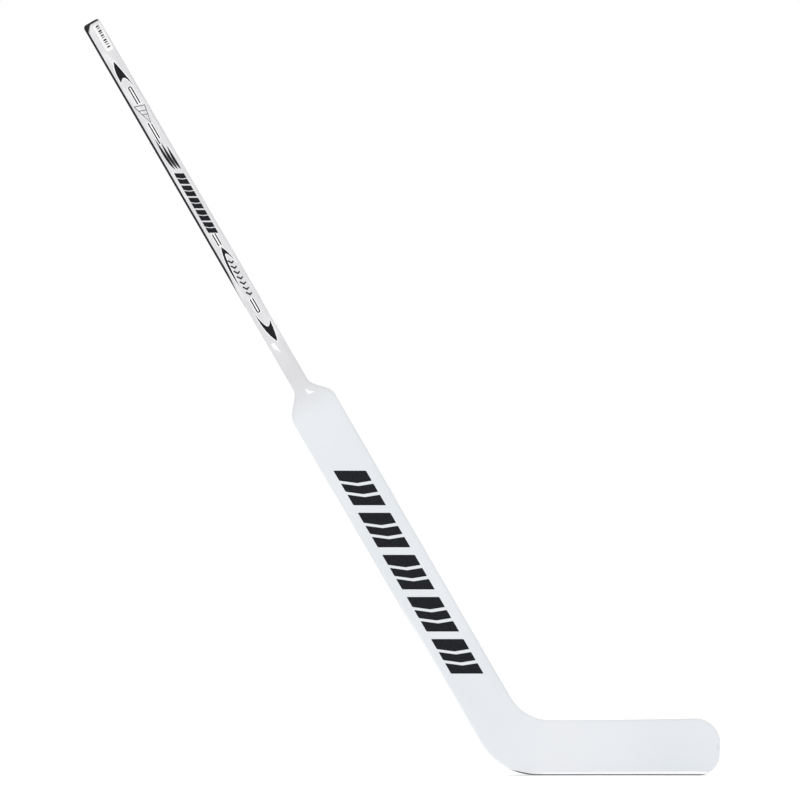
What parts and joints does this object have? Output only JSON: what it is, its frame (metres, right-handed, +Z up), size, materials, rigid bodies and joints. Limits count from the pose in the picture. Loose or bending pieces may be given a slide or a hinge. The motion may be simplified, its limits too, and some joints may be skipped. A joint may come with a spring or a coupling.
{
  "type": "goaltender hockey stick",
  "caption": "Goaltender's ice hockey stick: slim laminated wooden shaft, wide foam-filled paddle and a curved blade, joined by a hardwood heel and wrapped in painted glass fibre.",
  "frame": {"origin": "on the flat of the sole at the heel end of the blade, midway through the stick's thickness; the shaft's centre line would meet the ice 50 mm behind it, at x = -0.050", "axes": "+Z up with the sole on the ice, +X towards the toe of the blade, -Y out of the front face, which meets the puck; the shaft leans back towards -X by 30.1 degrees from the vertical"},
  "size_m": [0.9936, 0.032, 1.1808],
  "materials": {
    "black_plastic": "semi-gloss",
    "label_paper": "satin sticker",
    "aspen": "planed",
    "birch": "painted on the outside",
    "ash": "planed",
    "core_foam": "foam",
    "silver_lacquer": "clear gloss over silver-grey",
    "white_laminate": "gloss paint over glass fibre",
    "sole_grey": "satin"
  },
  "bodies": {
    "root": {"butt_cap": "black_plastic", "butt_label": "label_paper", "shaft_core": "aspen", "shaft_outer_ply": "birch", "shaft_inner_ply": "birch", "shaft_front_skin": "silver_lacquer", "shaft_back_skin": "silver_lacquer", "outer_shoulder_block": "ash", "inner_shoulder_block": "ash", "paddle_outer_foam": "core_foam", "paddle_inner_foam": "core_foam", "paddle_outer_edge": "ash", "paddle_inner_edge": "ash", "paddle_front_skin": "white_laminate", "paddle_back_skin": "white_laminate", "heel_block": "ash", "heel_front_skin": "white_laminate", "heel_back_skin": "white_laminate", "blade_upper_foam": "core_foam", "blade_lower_foam": "core_foam", "blade_rib": "birch", "blade_top_edge": "ash", "sole_strip": "sole_grey", "toe_block": "ash", "blade_front_skin": "white_laminate", "blade_back_skin": "white_laminate"}
  },
  "joints": []
}
